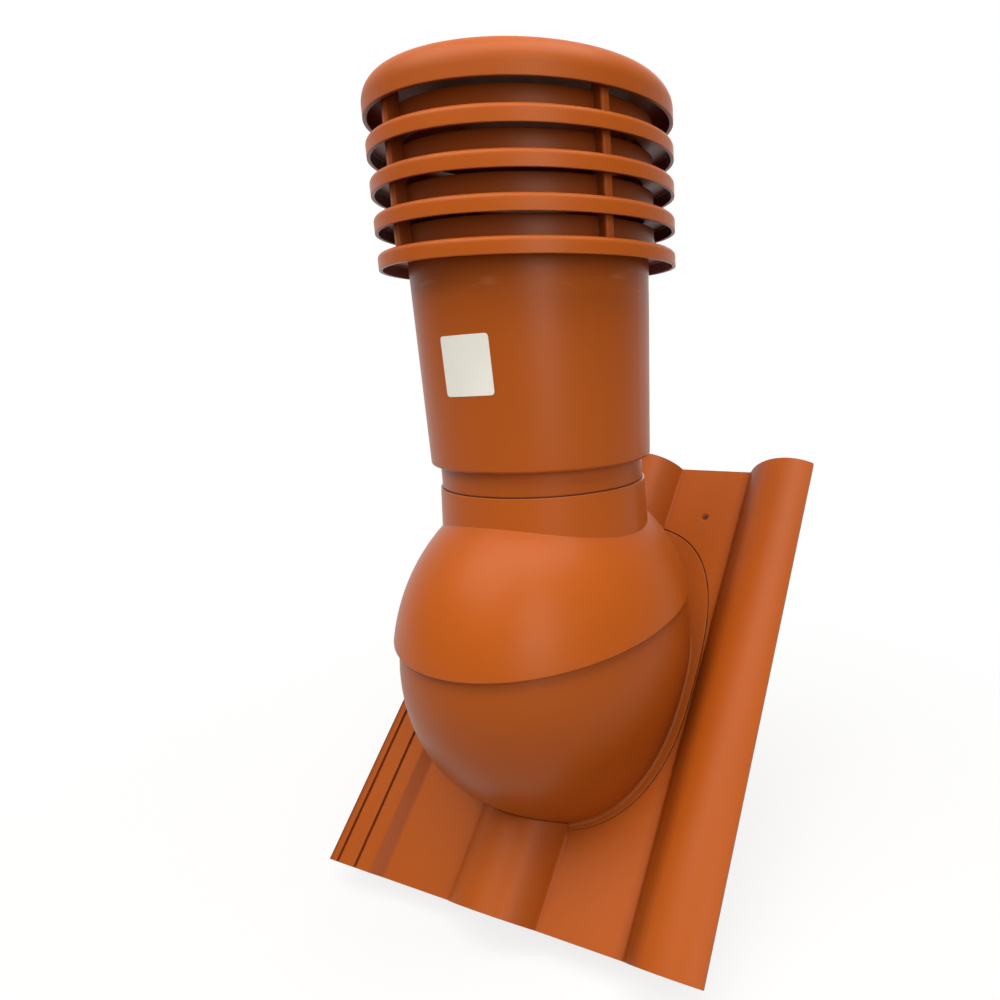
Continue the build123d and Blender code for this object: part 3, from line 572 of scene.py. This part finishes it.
FLOOR_GAP = 0.02
FLOOR_REACH = 8.0
SHADOW_REACH = (0.15, 0.65)
PLAIN_NEAR, PLAIN_FAR = 0.78, 1.0                # share of plain white over the lit paper
PAPER = (0.93, 0.93, 0.93)
PAPER_TO_THE_PIECE = (0.24, 0.23, 0.22)          # darker, so that it throws little light back
middle = (cad_box[0] + cad_box[1]) / 2
corners = [(x * FLOOR_REACH, y * FLOOR_REACH, 0) for x, y in ((-1, -1), (1, -1), (1, 1), (-1, 1))]
floor_data = bpy.data.meshes.new("floor")
floor_data.from_pydata(corners, [], [(0, 1, 2, 3)])
floor = bpy.data.objects.new("floor", floor_data)
floor.location = (middle.x, middle.y, cad_box[0].z - FLOOR_GAP)
bpy.context.scene.collection.objects.link(floor)
paper, tree, shader = new_material("paper")
shader["Roughness"].default_value = 0.9
ray = tree.nodes.new("ShaderNodeLightPath")
shown = calculate(tree, "MAXIMUM", ray.outputs["Is Camera Ray"],
                  calculate(tree, "MAXIMUM", ray.outputs["Is Glossy Ray"],
                            ray.outputs["Is Transmission Ray"]))
tree.links.new(blend_colours(tree, shown, PAPER_TO_THE_PIECE, PAPER), shader["Base Color"])
place = tree.nodes.new("ShaderNodeTexCoord")
away = tree.nodes.new("ShaderNodeVectorMath")
away.operation = "LENGTH"
tree.links.new(place.outputs["Object"], away.inputs[0])
plain = remap(tree, away.outputs["Value"], *SHADOW_REACH, PLAIN_NEAR, PLAIN_FAR)
white = tree.nodes.new("ShaderNodeEmission")
mix = tree.nodes.new("ShaderNodeMixShader")
tree.links.new(calculate(tree, "MULTIPLY", shown, plain), mix.inputs["Fac"])
tree.links.new(tree.nodes["Principled BSDF"].outputs["BSDF"], mix.inputs[1])
tree.links.new(white.outputs["Emission"], mix.inputs[2])
tree.links.new(mix.outputs["Shader"], tree.nodes["Material Output"].inputs["Surface"])
floor_data.materials.append(paper)


# Studio light
# Wide soft panels in front at the left and right, overhead and behind, in a pale room. Gloss
# mirrors a room that is bright behind the piece and dim in front of it.

WARM_WHITE = (1.0, 0.95, 0.86)
PANELS = (("front_left", (-0.40, -0.95, 1.25), (1.2, 1.0), 13),      # name, place, size and watts
          ("overhead", (0.45, -0.35, 1.50), (1.2, 1.0), 16),
          ("front_right", (0.95, -1.30, 0.50), (0.6, 1.2), 9),
          ("behind", (-0.70, 1.35, 0.75), (1.2, 1.0), 9))
ROOM_LEVEL = 0.22
BRIGHT_SIDE = (-0.415, 0.910, 0.0)
MIRRORED_DIM, MIRRORED_BRIGHT = 0.15, 1.0
for name, place, size, power in PANELS:
    lamp = bpy.data.lights.new(name, "AREA")
    lamp.shape = "RECTANGLE"
    lamp.size, lamp.size_y = size
    lamp.energy = power
    lamp.color = WARM_WHITE
    holder = bpy.data.objects.new(name, lamp)
    bpy.context.scene.collection.objects.link(holder)
    holder.location = place
    holder.rotation_euler = (middle - Vector(place)).to_track_quat("-Z", "Y").to_euler()

world = bpy.data.worlds.new("studio")
bpy.context.scene.world = world
world.use_nodes = True
tree = world.node_tree
room = tree.nodes["Background"]
room.inputs["Color"].default_value = (1, 1, 1, 1)
ray = tree.nodes.new("ShaderNodeLightPath")
direction = tree.nodes.new("ShaderNodeTexCoord")
facing = tree.nodes.new("ShaderNodeVectorMath")
facing.operation = "DOT_PRODUCT"
facing.inputs[1].default_value = BRIGHT_SIDE
tree.links.new(direction.outputs["Generated"], facing.inputs[0])
backdrop = remap(tree, facing.outputs["Value"], 0.0, 0.8, MIRRORED_DIM, MIRRORED_BRIGHT)
mirrored = calculate(tree, "MAXIMUM", ray.outputs["Is Glossy Ray"],
                     ray.outputs["Is Transmission Ray"])
unmirrored = calculate(tree, "SUBTRACT", 1.0, mirrored)
level = calculate(tree, "ADD", calculate(tree, "MULTIPLY", mirrored, backdrop),
                  calculate(tree, "MULTIPLY", unmirrored, ROOM_LEVEL))
tree.links.new(calculate(tree, "MAXIMUM", level, ray.outputs["Is Camera Ray"]),
               room.inputs["Strength"])

bpy.context.scene.view_settings.view_transform = "Standard"
